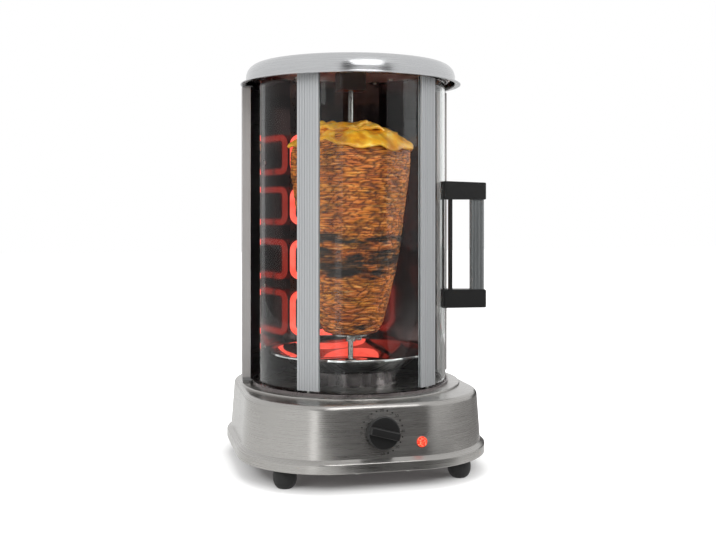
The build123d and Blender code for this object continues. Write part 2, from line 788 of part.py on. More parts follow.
def handle_frame():
    """Frame at the handle: a point (r, t, z) is r out from the spit axis and t along the glass."""
    return Rot(0, 0, handle_angle - 90.0)


def make_handle_block(low, high, inner_face_up):
    """Black end block of the handle, hollowed behind to sit on the curved glass."""
    half = handle_width / 2
    drop = block_taper
    if inner_face_up:
        points = [(glass_outer - 4, low), (handle_reach, low + drop * 0.4), (handle_reach, high),
                  (glass_outer - 4, high)]
    else:
        points = [(glass_outer - 4, low), (handle_reach, low), (handle_reach, high - drop),
                  (glass_outer - 4, high)]
    side = Plane.XZ * make_face(Polyline(*points, close=True))
    body = extrude(side, half, both=True)
    body = fillet(body.edges().group_by(Axis.X)[-1], 2.0)
    body -= rod(glass_outer + glass_seat, low - 1, high + 1)
    body -= block(grip_inner - 0.1, grip_outer + 0.1, -grip_width / 2 - 0.1, grip_width / 2 + 0.1,
                  *grip_socket(inner_face_up))
    body -= block(spine_inner - 0.1, spine_outer + 0.1, -spine_width / 2 - 0.1, spine_width / 2 + 0.1,
                  *grip_socket(inner_face_up))
    middle = (low + high) / 2
    hole = rod(m4 + screw_fit, -2, handle_screw_depth)
    body -= Pos(glass_outer, 0, middle) * Rot(0, 90, 0) * hole
    return handle_frame() * body


def grip_socket(lower_block):
    """Heights of the pocket in a block that the grip and the spine are held in."""
    if lower_block:
        return (handle_low + block_height - grip_seat, handle_low + block_height + 1)
    return (handle_high - block_height - 1, handle_high - block_height + grip_seat)


def handle_bar_heights():
    return (handle_low + block_height - grip_seat, handle_high - block_height + grip_seat)


def make_handle_grip():
    low, high = handle_bar_heights()
    half = grip_width / 2
    bar = block(grip_inner, grip_outer, -half, half, low, high)
    bar = fillet(bar.edges().filter_by(Axis.Z), 3.0)
    for i in range(3):
        r = grip_inner + (grip_outer - grip_inner) * (i + 1) / 4
        for face in (-1, 1):
            y0, y1 = sorted((face * half, face * (half - 1.0)))
            bar -= block(r - 0.9, r + 0.9, y0, y1, low, high)
    return handle_frame() * bar


def make_handle_spine():
    low, high = handle_bar_heights()
    half = spine_width / 2
    strip = block(spine_inner, spine_outer, -half, half, low, high)
    return handle_frame() * fillet(strip.edges().filter_by(Axis.Z), 1.0)


def make_handle_screws():
    """Screws from inside the glass into the blocks."""
    screws = []
    for z in (handle_low + block_height / 2, handle_high - block_height / 2):
        length = glass_thick + handle_screw_depth - 6 * screw_end_room
        screw = rod(m4_head, -1.0, -0.1) + rod(m4, -0.1, length)
        screws.append(handle_frame() * Pos(glass_inner, 0, z) * Rot(0, 90, 0) * screw)
    return screws


def make_right_glass():
    """Right pane, with the two holes for the handle's screws."""
    pane = make_glass(post_angle + post_half - post_slot + 0.1, door_half)
    for z in (handle_low + block_height / 2, handle_high - block_height / 2):
        hole = Pos(glass_inner - 2, 0, z) * Rot(0, 90, 0) * rod(m4 + 0.3, 0, glass_thick + 4)
        pane -= handle_frame() * hole
    return pane


# ---- spit and load ----
def make_spit_rod():
    bar = rod(rod_radius, rod_bottom, rod_top)
    return chamfer(bar.edges().group_by(Axis.Z)[-1], 1.5)


def make_spit_disc():
    """Disc with hub and four prongs that carries the load from below."""
    disc = rod(spit_disc_radius, spit_disc_z - 2, spit_disc_z)
    disc += rod(spit_hub_radius, spit_disc_z - 2 - spit_hub_height, spit_disc_z - 2)
    disc -= rod(rod_radius + screw_fit, spit_disc_z - 2 - spit_hub_height, spit_disc_z)
    for i in range(4):
        x, y = at(prong_circle, 45 + 90 * i)
        disc += rod(prong_radius, spit_disc_z, spit_disc_z + prong_height, x, y)
    z = spit_disc_z - 2 - spit_hub_height / 2
    return disc - Pos(0, 0, z) * Rot(0, 90, 0) * rod(m3 + screw_fit, rod_radius, spit_hub_radius)


def make_thumb_screw():
    z = spit_disc_z - 2 - spit_hub_height / 2
    screw = rod(m3, rod_radius + 0.1, spit_hub_radius + 3)
    screw += rod(3.6, spit_hub_radius + 1, spit_hub_radius + 7)
    return Pos(0, 0, z) * Rot(0, 90, 0) * screw


def make_meat_cone():
    """Stacked meat on the rod: narrow at the foot, widest near the top."""
    side = Spline(*load_profile)
    lines = [Line((0, load_bottom), (load_profile[0][0] - 4, load_bottom)),
             Line((load_profile[0][0] - 4, load_bottom), load_profile[0]), side,
             Line(load_profile[-1], (0, load_top)), Line((0, load_top), (0, load_bottom))]
    body = revolve(Plane.XZ * make_face(lines), Axis.Z)
    body -= rod(rod_radius + screw_fit, load_bottom, load_top)
    for i in range(4):
        x, y = at(prong_circle, 45 + 90 * i)
        body -= rod(prong_radius + screw_fit, load_bottom, spit_disc_z + prong_height + 0.1, x, y)
    return body


def make_fat_cap():
    """Slices of fat laid over the top of the meat, drooping a little past its widest part."""
    lines = [Line((0, fat_top), (0, load_top - 20)), Line((0, load_top - 20), fat_profile[0]),
             Line(fat_profile[0], fat_profile[1]), Spline(*fat_profile[1:]),
             Line(fat_profile[-1], (0, fat_top))]
    body = revolve(Plane.XZ * make_face(lines), Axis.Z)
    body -= rod(rod_radius + screw_fit, 0, fat_top + 1)
    return body - make_meat_cone()


# ---- drip tray ----
def make_drip_tray():
    tray = turned_sheet([(tray_collar, tray_floor + tray_collar_height), (tray_collar, tray_floor),
                         (tray_floor_radius, tray_floor), (tray_rim_radius - tray_lip, tray_rim),
                         (tray_rim_radius, tray_rim), (tray_rim_radius, tray_rim - 2.5)],
                        [2.0, 12.0, 3.0, 1.2], sheet)
    return tray


def make_tray_stand():
    """Low ring that the tray stands on."""
    top = tray_floor - sheet - seat_gap
    stand = ring(stand_radius + sheet, stand_radius, floor_z, top)
    return stand + ring(stand_radius + sheet + 4, stand_radius, floor_z, floor_z + sheet)


def main():
    os.makedirs("parts", exist_ok=True)
    bar_low = (handle_low, handle_low + block_height)
    bar_high = (handle_high - block_height, handle_high)
    inside = post_angle - post_half + post_slot - 0.1
    nodes = {
        "base_housing": make_base_housing(),
        "bottom_plate": make_bottom_plate(),
        "plate_screws": make_plate_screws(),
        "foot_bolts": make_foot_bolts(),
        "timer_body": make_timer_body(),
        "timer_nut": make_timer_nut(),
        "timer_shaft": make_timer_shaft(),
        "timer_knob": make_timer_knob(),
        "lamp_body": make_lamp_body(),
        "lamp_bezel": make_lamp_bezel(),
        "lamp_lens": make_lamp_lens(),
        "gear_motor": make_gear_motor(),
        "motor_bracket": make_motor_bracket(),
        "motor_screws": make_motor_screws(),
        "floor_screws": make_floor_screws(),
        "drive_shaft": make_drive_shaft(),
        "drive_coupling": make_drive_coupling(),
        "shaft_seal": make_shaft_seal(),
        "terminal_block": make_terminal_block(),
        "heater_wires": make_heater_wires(),
        "cable_gland": make_cable_gland(),
        "floor_pan": make_floor_pan(),
        "bottom_track": track(floor_z, floor_z + track_height, True),
        "top_track": track(shelf_z - track_height, shelf_z, False),
        "rear_housing": make_rear_housing(),
        "trim_left": make_trim(-1),
        "trim_right": make_trim(1),
        "reflector": make_reflector(),
        "heating_element": make_heating_element(),
        "element_clips": make_element_clips(),
        "element_insulators": make_element_insulators(),
        "thermal_cutout": make_thermal_cutout(),
        "tower_screws": make_tower_screws(),
        "ceiling_pan": make_ceiling_pan(),
        "lid_spacers": make_lid_spacers(),
        "lid": make_lid(),
        "bearing_block": make_bearing_block(),
        "bearing_bush": make_bearing_bush(),
        "door_glass_left": make_glass(-door_half, -post_angle - post_half + post_slot - 0.1),
        "door_glass_front": make_glass(-inside, inside),
        "door_glass_right": make_right_glass(),
        "door_post_left": make_post(-post_angle),
        "door_post_right": make_post(post_angle),
        "door_pins": make_door_pins(),
        "handle_block_top": make_handle_block(*bar_high, False),
        "handle_block_bottom": make_handle_block(*bar_low, True),
        "handle_grip": make_handle_grip(),
        "handle_spine": make_handle_spine(),
        "handle_screws": make_handle_screws(),
        "spit_rod": make_spit_rod(),
        "spit_disc": make_spit_disc(),
        "spit_thumb_screw": make_thumb_screw(),
        "meat_cone": make_meat_cone(),
        "fat_cap": make_fat_cap(),
        "drip_tray": make_drip_tray(),
        "tray_stand": make_tray_stand(),
    }
    for place, (x, y) in foot_places().items():
        nodes["foot_" + place] = make_foot(x, y)
    for name, shape in nodes.items():
        if isinstance(shape, list):
            shape = Compound(children=shape)
        export_step(shape, os.path.join("parts", name + ".step"))
    print(len(nodes), "nodes")


main()
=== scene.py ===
# %% [markdown]
# # Upright electric skewer grill
#
# This lesson dresses a finished CAD model of an upright skewer grill: a pressed steel base with a timer,
# a round heated tower behind a turning glass door, and a slowly turning spit with stacked meat on it.
# The CAD parts already have their right shapes and places, so most of them only need a good material.
# What CAD does badly, such as meat and melted fat, is modelled here with bmesh.
#
# The first cell loads the CAD model as a fixed frame. Everything is in metres, with +Z up and the front
# along -Y, and the spit turns about the Z axis.

# %% Load the CAD frame
import json
from math import atan2, cos, exp, pi, radians, sin

import bpy
import bmesh
from mathutils import Matrix, Vector, noise


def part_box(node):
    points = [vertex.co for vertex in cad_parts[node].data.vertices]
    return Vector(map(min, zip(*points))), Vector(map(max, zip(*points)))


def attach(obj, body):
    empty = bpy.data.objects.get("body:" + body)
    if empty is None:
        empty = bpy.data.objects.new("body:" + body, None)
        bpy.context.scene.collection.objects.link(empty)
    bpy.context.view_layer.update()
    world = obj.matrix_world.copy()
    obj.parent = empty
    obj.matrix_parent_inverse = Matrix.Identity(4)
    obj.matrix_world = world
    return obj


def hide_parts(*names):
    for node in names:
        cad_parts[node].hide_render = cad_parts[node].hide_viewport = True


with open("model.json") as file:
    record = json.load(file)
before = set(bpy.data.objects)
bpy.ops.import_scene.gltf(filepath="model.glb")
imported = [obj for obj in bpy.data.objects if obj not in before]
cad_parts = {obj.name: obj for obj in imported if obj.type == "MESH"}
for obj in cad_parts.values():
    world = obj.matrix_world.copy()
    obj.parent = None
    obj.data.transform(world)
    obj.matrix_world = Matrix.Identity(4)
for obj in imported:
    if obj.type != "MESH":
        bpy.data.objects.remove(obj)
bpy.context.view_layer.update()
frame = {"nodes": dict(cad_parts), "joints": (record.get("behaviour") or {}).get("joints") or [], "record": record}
mm = 0.001

# %% [markdown]
# ## The camera
#
# A camera match needs four facts: how far away the lens was, from which side, how high, and how long
# the lens is. They were fitted to the outline of the base, the lid and the feet. The camera looks level,
# so upright edges stay upright, and the lens is shifted instead of tilted, as a studio camera is.
# The shift is worked out from two places in the picture: the column of the spit axis and the row of
# eye level.

# %% Camera
picture_width, picture_height = 716, 540
axis_column, eye_row = 350.5, 207.5
focal_length_px = 1005.0
sensor_mm = 36.0
camera_turn = radians(13.0)
camera_distance = 1.305
camera_height = 0.3237

lens = bpy.data.cameras.new("studio_camera")
lens.sensor_width = sensor_mm
lens.lens = focal_length_px / picture_width * sensor_mm
lens.shift_x = (picture_width / 2 - axis_column) / picture_width
lens.shift_y = (eye_row - picture_height / 2) / picture_width
lens.clip_start, lens.clip_end = 0.01, 100.0
camera = bpy.data.objects.new("studio_camera", lens)
camera.location = (-camera_distance * sin(camera_turn), -camera_distance * cos(camera_turn), camera_height)
camera.rotation_euler = (radians(90), 0, -camera_turn)
bpy.context.scene.collection.objects.link(camera)
bpy.context.scene.camera = camera
print("focal length", round(lens.lens, 2), "mm, shift", round(lens.shift_x, 4), round(lens.shift_y, 4))

# %% [markdown]
# ## Two small helpers for materials
#
# Artists pick colours as hex values from a picture, but a renderer counts light linearly, so one function
# turns one into the other. A second function adds a shader node with its settings and its links, which
# keeps each material below down to a few readable lines.

# %% Helpers for materials
def tone(hex_colour):
    """Linear RGBA of an sRGB hex colour such as "#c8c9cb"."""
    parts = [int(hex_colour[i:i + 2], 16) / 255 for i in (1, 3, 5)]
    return tuple(p / 12.92 if p <= 0.04045 else ((p + 0.055) / 1.055) ** 2.4 for p in parts) + (1.0,)


def add_node(tree, kind, inputs=None, **settings):
    """Adds a node, sets its properties, and fills its inputs with values or with other nodes' sockets."""
    node = tree.nodes.new(kind)
    for name, value in settings.items():
        setattr(node, name, value)
    for name, value in (inputs or {}).items():
        if isinstance(value, bpy.types.NodeSocket):
            tree.links.new(value, node.inputs[name])
        else:
            node.inputs[name].default_value = value
    return node


def start_material(name, **shader_values):
    """A material with one Principled shader whose constant values are set on its own sockets."""
    material = bpy.data.materials.new(name)
    material.use_nodes = True
    shader = material.node_tree.nodes["Principled BSDF"]
    for socket, value in shader_values.items():
        shader.inputs[socket.replace("_", " ")].default_value = value
    return material, material.node_tree, shader


def colour_steps(tree, factor, *steps):
    """A colour ramp through (position, hex colour) steps."""
    ramp = add_node(tree, "ShaderNodeValToRGB", {"Fac": factor})
    points = ramp.color_ramp.elements
    while len(points) < len(steps):
        points.new(1.0)
    for point, (place, colour) in zip(points, steps):
        point.position = place
        point.color = tone(colour)
    return ramp.outputs["Color"]


def stretched_noise(tree, size_mm, detail=3.0, distortion=0.0, turn=(0, 0, 0)):
    """Noise on Object coordinates whose grains are about size_mm = (x, y, z) millimetres."""
    place = add_node(tree, "ShaderNodeTexCoord").outputs["Object"]
    scale = tuple(1.0 / (s * mm) for s in size_mm)
    spread = add_node(tree, "ShaderNodeMapping", {"Vector": place, "Scale": scale, "Rotation": turn})
    return add_node(tree, "ShaderNodeTexNoise",
                    {"Vector": spread.outputs["Vector"], "Scale": 1.0, "Detail": detail,
                     "Distortion": distortion}).outputs["Fac"]


def set_range(tree, value, low, high, start=0.3, stop=0.7):
    """Maps a noise value to a range of its own."""
    return add_node(tree, "ShaderNodeMapRange",
                    {"Value": value, "From Min": start, "From Max": stop,
                     "To Min": low, "To Max": high}).outputs["Result"]


def raise_surface(tree, shader, height, strength, depth_mm):
    """Bump from a height, depth_mm deep."""
    bump = add_node(tree, "ShaderNodeBump", {"Height": height, "Strength": strength,
                                             "Distance": depth_mm * mm})
    tree.links.new(bump.outputs["Normal"], shader.inputs["Normal"])


print("white card is", [round(c, 3) for c in tone("#ffffff")], "and mid grey", round(tone("#808080")[0], 3))

# %% [markdown]
# ## The studio: white room, soft lamps and dark flags
#
# Steel and glass show the room more than themselves. The room here is white all round, as in a catalogue
# picture, and the floor is white too but keeps the grill's soft shadow. The white is made with Light
# Path: only camera rays, mirror rays and rays through glass see it, so it doesn't light the object.
#
# The floor's glow starts a little outside the base, so the shadow under the grill stays dark. Mirror rays
# see one even floor, or the steel would show a white much brighter than the room's.

# %% White room
studio = bpy.data.worlds.new("white_room")
studio.use_nodes = True
bpy.context.scene.world = studio
room = studio.node_tree
room.nodes.clear()
room_light = 0.42


def seen_directly(tree):
    """1 for rays that come straight, by a mirror or through glass from the camera, else 0."""
    path = add_node(tree, "ShaderNodeLightPath")
    straight = add_node(tree, "ShaderNodeMath", {0: path.outputs["Is Camera Ray"],
                                                 1: path.outputs["Is Glossy Ray"]}, operation="MAXIMUM")
    return add_node(tree, "ShaderNodeMath", {0: straight.outputs[0],
                                             1: path.outputs["Is Transmission Ray"]},
                    operation="MAXIMUM").outputs[0]


lighting = add_node(room, "ShaderNodeBackground", {"Color": tone("#ffffff"), "Strength": room_light})
white = add_node(room, "ShaderNodeBackground", {"Color": tone("#ffffff"), "Strength": 1.0})
either = add_node(room, "ShaderNodeMixShader", {0: seen_directly(room), 1: lighting.outputs[0],
                                                2: white.outputs[0]})
add_node(room, "ShaderNodeOutputWorld", {"Surface": either.outputs[0]})


def flat_card(name, width, height, matrix, far_width=None):
    """A one-sided studio card made of a single grid, placed in its mesh. far_width is at its +Y edge."""
    shape = bmesh.new()
    bmesh.ops.create_grid(shape, x_segments=1, y_segments=1, size=0.5)
    bmesh.ops.scale(shape, vec=(width, height, 1), verts=shape.verts)
    if far_width:
        bmesh.ops.scale(shape, vec=(far_width / width, 1, 1), verts=[v for v in shape.verts if v.co.y > 0])
    bmesh.ops.transform(shape, matrix=matrix, verts=shape.verts)
    mesh = bpy.data.meshes.new(name)
    shape.to_mesh(mesh)
    shape.free()
    card = bpy.data.objects.new(name, mesh)
    bpy.context.scene.collection.objects.link(card)
    return card


floor = flat_card("studio_floor", 12.0, 12.0, Matrix.Identity(4))
floor_paint, paint_tree, paint = start_material("matt_white_floor_paint", Roughness=0.9)
paint.inputs["Specular IOR Level"].default_value = 0.0
paint_grain = stretched_noise(paint_tree, (3, 3, 3))
paint_tree.links.new(colour_steps(paint_tree, paint_grain, (0.3, "#d4d4d3"), (0.7, "#d8d8d7")),
                     paint.inputs["Base Color"])
shadow_core = (0.045, 0.055, 0.0)        # half sides of the base's outline inside its rounded corners
glow_starts, glow_full = 0.075, 0.16     # metres outside that core
least_glow, full_glow, mirrored_glow = 0.02, 1.0, 0.30
fill = add_node(paint_tree, "ShaderNodeEmission", {"Color": tone("#ffffff")})
paint_place = add_node(paint_tree, "ShaderNodeTexCoord").outputs["Object"]
from_middle = add_node(paint_tree, "ShaderNodeVectorMath", {0: paint_place}, operation="ABSOLUTE")
past_core = add_node(paint_tree, "ShaderNodeVectorMath", {0: from_middle.outputs[0], 1: shadow_core},
                     operation="SUBTRACT")
outside_core = add_node(paint_tree, "ShaderNodeVectorMath", {0: past_core.outputs[0], 1: (0, 0, 0)},
                        operation="MAXIMUM")
from_core = add_node(paint_tree, "ShaderNodeVectorMath", {0: outside_core.outputs[0]}, operation="LENGTH")
open_floor = set_range(paint_tree, from_core.outputs["Value"], least_glow, full_glow, glow_starts, glow_full)
mirror_ray = add_node(paint_tree, "ShaderNodeLightPath").outputs["Is Glossy Ray"]
floor_glow = set_range(paint_tree, mirror_ray, open_floor, mirrored_glow, 0.0, 1.0)
fill_strength = add_node(paint_tree, "ShaderNodeMath", {0: seen_directly(paint_tree), 1: floor_glow},
                         operation="MULTIPLY")
paint_tree.links.new(fill_strength.outputs[0], fill.inputs["Strength"])
lit_floor = add_node(paint_tree, "ShaderNodeAddShader", {0: paint.outputs[0], 1: fill.outputs[0]})
paint_tree.links.new(lit_floor.outputs[0], paint_tree.nodes["Material Output"].inputs["Surface"])
floor.data.materials.append(floor_paint)
print("the floor's glow is full", glow_full, "m outside the shadow's core")

# %% [markdown]
# ## Graded cards
#
# A photographer puts dark paper in front of the grill to give steel its dark side and to keep the front
# glass clear. A card that gets paler along its length lays a grade on the steel that mirrors it. The grill
# mirrors the floor in front of it more than anything else, so two of the cards lie there. One narrow
# white card, half standing and half lying, draws the bright upright line on the base's rounded corner.
#
# Each card's tone is its own glow, so the lamps don't change it. Cards are seen only in reflections.

# %% Graded cards
near_grill = -0.2       # y in metres where the grade of a lying card starts


def graded_card(name, card, *steps, strength=1.0):
    """Gives a card a grade from its foot up, or away from the grill when it lies on the floor."""
    material, tree, shader = start_material(name, Roughness=1.0)
    shader.inputs["Specular IOR Level"].default_value = 0.0
    shader.inputs["Base Color"].default_value = (0, 0, 0, 1)
    place = add_node(tree, "ShaderNodeSeparateXYZ",
                     {"Vector": add_node(tree, "ShaderNodeTexCoord").outputs["Object"]})
    corners = [v.co for v in card.data.vertices]
    low, high, along = min(c.z for c in corners), max(c.z for c in corners), place.outputs["Z"]
    if high - low < 0.01:
        low, high, along = near_grill, min(c.y for c in corners), place.outputs["Y"]
    grade = set_range(tree, along, 0.0, 1.0, low, high)
    tree.links.new(colour_steps(tree, grade, *steps), shader.inputs["Emission Color"])
    shader.inputs["Emission Strength"].default_value = strength
    card.data.materials.append(material)
    card.visible_camera = card.visible_diffuse = card.visible_shadow = False


def standing_card(name, azimuth, distance, width, height):
    """An upright card that faces the spit axis from an azimuth, counted from the front to the right."""
    turn = radians(azimuth)
    place = Matrix.Translation((distance * sin(turn), -distance * cos(turn), height / 2))
    upright = Matrix.Rotation(turn, 4, "Z") @ Matrix.Rotation(radians(90), 4, "X")
    return flat_card(name, width, height, place @ upright)


camera_card = standing_card("card_behind_camera", 4.0, 2.6, 2.5, 2.4)
graded_card("grey_paper_behind_camera", camera_card,
            (0.0, "#9a9898"), (0.06, "#7a7878"), (0.14, "#3a3839"), (0.6, "#2a2829"), (1.0, "#4e4c4c"))
floor_card = flat_card("card_on_floor", 2.3, 2.35, Matrix.Translation((0.12, -1.375, 0.002)), far_width=0.26)
graded_card("grey_paper_on_floor", floor_card, (0.0, "#232222"), (0.08, "#3a3838"), (0.25, "#7a7877"),
            (0.6, "#b2b0af"), (1.0, "#5a5858"))
right_card = flat_card("card_on_floor_right", 1.4, 1.6, Matrix.Translation((0.95, 0.15, 0.003)))
graded_card("pale_paper_on_floor_right", right_card, (0.0, "#9c9a99"), (1.0, "#aeacab"))
rear_card = standing_card("card_right_behind", 128.0, 1.3, 0.8, 0.35)
graded_card("grey_paper_right_behind", rear_card, (0.0, "#2c2b2b"), (1.0, "#4b4a4a"))
rear_card.visible_transmission = False
glass_card = standing_card("card_left_for_glass", -95.0, 1.7, 3.2, 2.2)
graded_card("black_paper_left_for_glass", glass_card, (0.0, "#332c2e"), (1.0, "#4a4346"))
glass_card.visible_glossy = False
narrow_card_turn = -27.0
narrow_card = standing_card("narrow_card_left", narrow_card_turn, 1.2, 0.15, 0.26)
graded_card("white_paper_left", narrow_card, (0.0, "#ffffff"), (1.0, "#ffffff"), strength=2.2)
strip_place = Matrix.Rotation(radians(narrow_card_turn), 4, "Z") @ Matrix.Translation((0, -0.75, 0.004))
floor_strip = flat_card("narrow_card_on_floor", 0.14, 0.85, strip_place, far_width=0.05)
graded_card("white_paper_on_floor", floor_strip, (0.0, "#ffffff"), (1.0, "#ffffff"), strength=2.0)

# %% [markdown]
# ## Soft lamps
#
# Four softboxes light the matt pieces. Only the front one is mirrored: it lays a soft patch on the lid and
# the drip tray.

# %% Soft lamps
def soft_lamp(name, place, aim, size, watts, mirrored):
    """A square softbox that faces a point of the grill. mirrored says whether steel shows it."""
    lamp = bpy.data.lights.new(name, "AREA")
    lamp.shape, lamp.size, lamp.energy = "SQUARE", size, watts
    holder = bpy.data.objects.new(name, lamp)
    holder.location = place
    holder.rotation_euler = (Vector(aim) - Vector(place)).to_track_quat("-Z", "Y").to_euler()
    holder.visible_camera = False
    holder.visible_glossy = mirrored
    bpy.context.scene.collection.objects.link(holder)
    print(name, "at", place, "gives", watts, "W")


soft_lamp("key_softbox_left", (-1.9, -1.3, 1.25), (0, 0, 0.25), 1.2, 26.0, False)
soft_lamp("fill_softbox_right", (1.9, -0.9, 1.0), (0, 0, 0.25), 1.0, 13.0, False)
soft_lamp("front_softbox", (0.2, -2.0, 1.6), (0, 0, 0.25), 1.2, 17.0, True)
soft_lamp("top_softbox", (0.0, 0.1, 2.3), (0, 0, 0.3), 1.4, 20.0, False)

# %% [markdown]
# ## Brushed stainless sheet
#
# The base, the lid and the rear housing are stainless sheet that was brushed with an abrasive belt before
# it was pressed. The belt leaves long, fine, parallel scratches. Across them light spreads widely and
# along them hardly at all, so a lamp shows as a streak that stands across the scratches. The shader's
# Anisotropic value does that. The scratches themselves are noise that is stretched a hundred times
# longer than it is wide. Real ones are about 0.1 mm wide. They are drawn 0.45 mm wide here, or they
# would not show.

# %% Brushed stainless
scratch_length, scratch_width = 60.0, 0.45


def brushed_stainless(name, pale, dark, roughness):
    """Belt-brushed stainless: level scratches on the walls, and along X on top faces."""
    material, tree, shader = start_material(name, Metallic=1.0, Anisotropic=0.65)
    shader.inputs["Anisotropic Rotation"].default_value = 0.25
    around = add_node(tree, "ShaderNodeTangent", direction_type="RADIAL", axis="Z")
    tree.links.new(around.outputs["Tangent"], shader.inputs["Tangent"])
    on_walls = stretched_noise(tree, (scratch_length, scratch_length, scratch_width), detail=4.0)
    on_top = stretched_noise(tree, (scratch_length, scratch_width, scratch_length), detail=4.0)
    normal = add_node(tree, "ShaderNodeSeparateXYZ",
                      {"Vector": add_node(tree, "ShaderNodeNewGeometry").outputs["Normal"]})
    faces_up = set_range(tree, normal.outputs["Z"], 0.0, 1.0, 0.75, 0.95)
    scratches = add_node(tree, "ShaderNodeMix", {"Factor": faces_up, "A": on_walls, "B": on_top},
                         data_type="FLOAT").outputs["Result"]
    handled = stretched_noise(tree, (60, 60, 60), detail=2.0)
    tree.links.new(colour_steps(tree, scratches, (0.3, dark), (0.7, pale)), shader.inputs["Base Color"])
    rough = add_node(tree, "ShaderNodeMath",
                     {0: set_range(tree, scratches, roughness - 0.05, roughness + 0.06),
                      1: set_range(tree, handled, -0.03, 0.04)}, operation="ADD")
    tree.links.new(rough.outputs[0], shader.inputs["Roughness"])
    raise_surface(tree, shader, scratches, 0.10, 0.02)
    return material


base_stainless = brushed_stainless("belt_brushed_stainless_base", "#adaba8", "#a19f9c", 0.27)
lid_stainless = brushed_stainless("belt_brushed_stainless_lid", "#c4c5c6", "#b7b8ba", 0.27)
tower_stainless = brushed_stainless("belt_brushed_stainless_tower", "#b9b9b9", "#acacac", 0.32)
print("scratches are", scratch_length, "mm long and", scratch_width, "mm wide")

# %% [markdown]
# ## Extruded aluminium, polished steel and plain metals
#
# The two posts of the door, the trims beside it and the handle's bar are aluminium that was pushed
# through a die, etched matt and anodised. The die leaves faint upright lines.
#
# The reflector, the ceiling and the drip tray are bright-rolled or spun stainless, nearly mirrors. A sheet
# that was bent by hand is never quite flat, and a slow wave in the bump shows that in its reflections.
# The tones of the lining and the reflector hold painted shade and a painted red glow, and the ceiling's
# tone holds a painted red glow.

# %% Aluminium and polished steel
def anodised_aluminium(name, pale, dark, roughness):
    """Extruded, etched and anodised aluminium with upright die lines 0.5 mm wide."""
    material, tree, shader = start_material(name, Metallic=0.45)
    lines = stretched_noise(tree, (0.5, 0.5, 120.0), detail=2.0)
    etch = stretched_noise(tree, (0.6, 0.6, 0.6), detail=2.0)
    both = add_node(tree, "ShaderNodeMath", {0: lines, 1: set_range(tree, etch, -0.04, 0.04)},
                    operation="ADD").outputs[0]
    tree.links.new(colour_steps(tree, both, (0.3, dark), (0.7, pale)), shader.inputs["Base Color"])
    tree.links.new(set_range(tree, both, roughness - 0.05, roughness + 0.05), shader.inputs["Roughness"])
    raise_surface(tree, shader, both, 0.15, 0.03)
    return material


def polished_stainless(name, pale, dark, roughness, wave_mm, wave_strength):
    """Bright stainless sheet with a slow wave in it and faint wiping marks."""
    material, tree, shader = start_material(name, Metallic=1.0)
    wiped = stretched_noise(tree, (14.0, 14.0, 50.0), detail=5.0, distortion=0.6)
    tree.links.new(colour_steps(tree, wiped, (0.3, dark), (0.7, pale)), shader.inputs["Base Color"])
    tree.links.new(set_range(tree, wiped, roughness * 0.7, roughness * 1.5), shader.inputs["Roughness"])
    raise_surface(tree, shader, stretched_noise(tree, (wave_mm, wave_mm, wave_mm), detail=1.0),
                  wave_strength, 1.0)
    return material


post_aluminium = anodised_aluminium("anodised_aluminium_posts", "#b9bbbd", "#adafb1", 0.55)
trim_aluminium = anodised_aluminium("anodised_aluminium_trims", "#bcb9b8", "#b0adac", 0.6)
grip_aluminium = anodised_aluminium("anodised_aluminium_grip", "#7d8081", "#696c6d", 0.45)
# Painted light: the lining's dark pinkish grey is painted shade and a painted red glow from the element.
inner_steel = polished_stainless("rolled_steel_lining_painted_shade_and_glow", "#8d8686", "#7d7677", 0.24, 60.0, 0.05)
# Painted light: the ceiling's pink tint is a painted red glow from the element.
ceiling_steel_painted_glow = polished_stainless("dull_rolled_ceiling_painted_red_glow", "#efe4e0", "#dccfcb", 0.42, 60.0, 0.04)
# Painted light: the reflector's dark red-brown tones are painted shade and a painted reflection of the red
# element.
reflector_steel = polished_stainless("mirror_reflector_painted_shade_and_red_glow", "#6e5c5a", "#5d4d4c", 0.10, 45.0, 0.10)
tray_steel = polished_stainless("spun_mirror_tray", "#e6e6e6", "#d6d6d6", 0.04, 30.0, 0.02)
print("aluminium:", post_aluminium.name, trim_aluminium.name, grip_aluminium.name)
print("bright steel:", inner_steel.name, ceiling_steel_painted_glow.name, reflector_steel.name, tray_steel.name)

# %% [markdown]
# ## Small plain finishes
#
# The remaining CAD pieces share a handful of finishes: zinc-plated screws, ground spit steel, a sintered
# bronze bush, steatite ceramic, phenolic resin, a galvanised motor case and a woven glass-fibre sleeve.
# One function makes a mottled finish of a given grain from three facts: two close tones, the roughness
# and how far the grain stands up.

# %% Mottled finishes
def mottled_finish(name, pale, dark, roughness, grain_mm, bump, metallic=0.0, **shader_values):
    """A finish whose tone, gloss and height vary with one grain."""
    material, tree, shader = start_material(name, Metallic=metallic, **shader_values)
    grain = stretched_noise(tree, grain_mm, detail=4.0)
    tree.links.new(colour_steps(tree, grain, (0.3, dark), (0.7, pale)), shader.inputs["Base Color"])
    tree.links.new(set_range(tree, grain, roughness - 0.06, roughness + 0.06), shader.inputs["Roughness"])
    raise_surface(tree, shader, grain, bump, 0.1)
    return material


